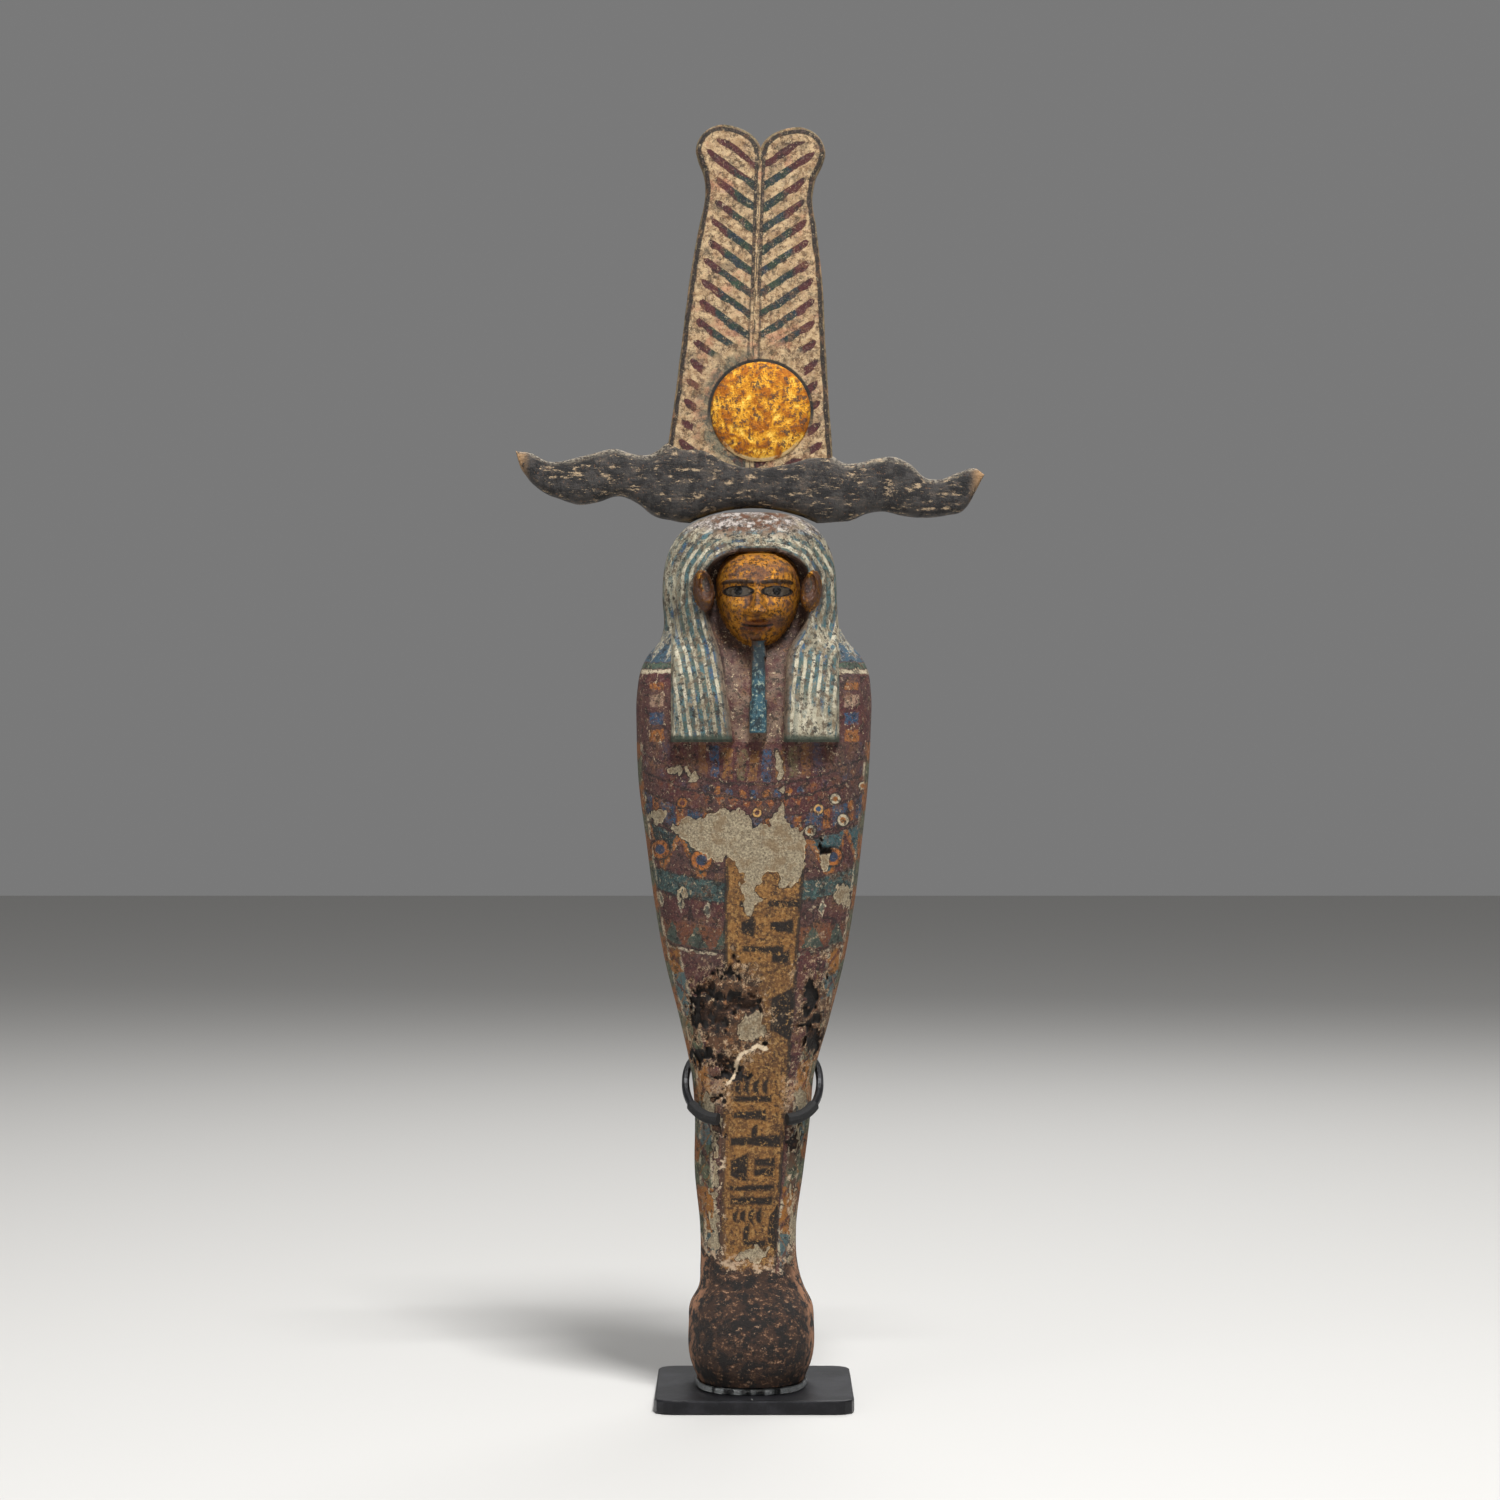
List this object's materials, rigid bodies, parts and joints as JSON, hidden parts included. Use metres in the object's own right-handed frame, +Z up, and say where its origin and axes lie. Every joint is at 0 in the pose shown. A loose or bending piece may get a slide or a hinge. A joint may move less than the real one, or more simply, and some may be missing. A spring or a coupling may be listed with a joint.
{
  "type": "ptah-sokar-osiris figure",
  "caption": "Carved and painted wooden mummiform figure with gilded face, false beard and tall feather crown with sun disc and horns, held up by a black wire cradle.",
  "frame": {"origin": "middle of the base plate's underside, below the figure", "axes": "+Z up, the figure faces -Y, +X towards the figure's left hand"},
  "size_m": [0.2064, 0.098, 0.5596],
  "materials": {
    "painted_wood": "aged gesso, paint and gilding on wood",
    "painted_crown": "aged gesso, paint and gilding on wood",
    "black_metal": "satin black",
    "dark_sleeve": "matte",
    "clear_plastic": "clear polished acrylic"
  },
  "bodies": {
    "root": {"figure": "painted_wood", "crown": "painted_crown", "cradle": "black_metal", "left_sleeve": "dark_sleeve", "right_sleeve": "dark_sleeve", "base_plate": "black_metal", "foot_rest": "clear_plastic"}
  },
  "joints": []
}
